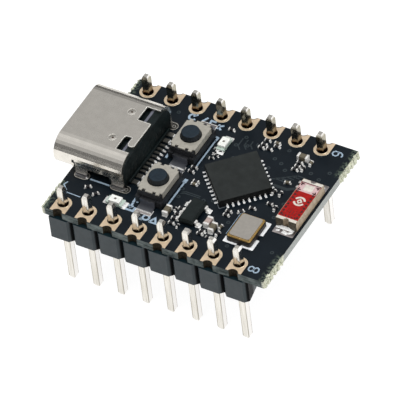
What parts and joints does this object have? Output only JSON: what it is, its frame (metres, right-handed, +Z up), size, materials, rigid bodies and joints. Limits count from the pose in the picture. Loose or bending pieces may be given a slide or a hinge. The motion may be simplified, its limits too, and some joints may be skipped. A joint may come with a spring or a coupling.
{
  "type": "microcontroller dev board",
  "caption": "Thumb-size dev board with a USB-C socket at one end, a chip antenna at the other, push buttons, a square chip turned cornerwise and header pins down both long edges.",
  "frame": {"origin": "centre of the bounding box at the header pins' tips", "axes": "+X from the USB-C socket to the antenna end, +Y from the front pin row (nearer the boot button) to the back row, +Z up out of the board's component side"},
  "size_m": [0.0238, 0.0178, 0.0125],
  "materials": {
    "solder_mask": "satin dark blue-black solder mask over fibreglass",
    "header_plastic": "matt grey-black moulded plastic",
    "pin_metal": "bright tin plate",
    "shell_metal": "satin nickel plate",
    "socket_plastic": "matt black moulded plastic",
    "contact_metal": "tin and gold plate",
    "switch_plastic": "matt black moulded plastic",
    "cover_metal": "satin stainless sheet",
    "button_plastic": "matt dark blue-grey plastic",
    "spring_steel": "bright spring steel",
    "terminal_metal": "tin plate",
    "epoxy": "matt moulded epoxy",
    "ceramic": "dark fired ceramic",
    "lid_metal": "fine satin",
    "gold": "gold plate",
    "antenna_ceramic": "beige ceramic with a red printed top",
    "led_body": "white substrate",
    "led_lens": "clear-white resin",
    "capacitor_body": "brown ceramic with tinned ends"
  },
  "bodies": {
    "board": {"boot_switch_base": "switch_plastic", "boot_switch_cover": "cover_metal", "boot_switch_dome": "spring_steel", "boot_terminal_back": "terminal_metal", "boot_terminal_front": "terminal_metal", "capacitor_1": "capacitor_body", "capacitor_2": "capacitor_body", "capacitor_3": "capacitor_body", "capacitor_4": "capacitor_body", "chip_antenna": "antenna_ceramic", "crystal_base": "ceramic", "crystal_lid": "lid_metal", "crystal_seal_ring": "gold", "header_strip_back": "header_plastic", "header_strip_front": "header_plastic", "pcb": "solder_mask", "pin_back_1": "pin_metal", "pin_back_2": "pin_metal", "pin_back_3": "pin_metal", "pin_back_4": "pin_metal", "pin_back_5": "pin_metal", "pin_back_6": "pin_metal", "pin_back_7": "pin_metal", "pin_back_8": "pin_metal", "pin_front_1": "pin_metal", "pin_front_2": "pin_metal", "pin_front_3": "pin_metal", "pin_front_4": "pin_metal", "pin_front_5": "pin_metal", "pin_front_6": "pin_metal", "pin_front_7": "pin_metal", "pin_front_8": "pin_metal", "power_led_base": "led_body", "power_led_lens": "led_lens", "processor_chip": "epoxy", "regulator_body": "epoxy", "regulator_lead_1": "terminal_metal", "regulator_lead_2": "terminal_metal", "regulator_lead_3": "terminal_metal", "regulator_lead_4": "terminal_metal", "regulator_lead_5": "terminal_metal", "reset_switch_base": "switch_plastic", "reset_switch_cover": "cover_metal", "reset_switch_dome": "spring_steel", "reset_terminal_back": "terminal_metal", "reset_terminal_front": "terminal_metal", "status_led_base": "led_body", "status_led_lens": "led_lens", "usb_contact_tails": "contact_metal", "usb_housing": "socket_plastic", "usb_mid_plate": "terminal_metal", "usb_shell": "shell_metal", "usb_tongue_lower": "socket_plastic", "usb_tongue_upper": "socket_plastic"},
    "boot_button": {"boot_button": "button_plastic"},
    "reset_button": {"reset_button": "button_plastic"}
  },
  "joints": [
    {"name": "boot_press", "type": "slide", "parent": "board", "child": "boot_button", "axis": [0, 0, -1], "range_m": [0, 0.0002], "stiffness_N_per_m": 4000, "springref_m": -0.0001, "deforming": ["boot_switch_dome"]},
    {"name": "reset_press", "type": "slide", "parent": "board", "child": "reset_button", "axis": [0, 0, -1], "range_m": [0, 0.0002], "stiffness_N_per_m": 4000, "springref_m": -0.0001, "deforming": ["reset_switch_dome"]}
  ]
}
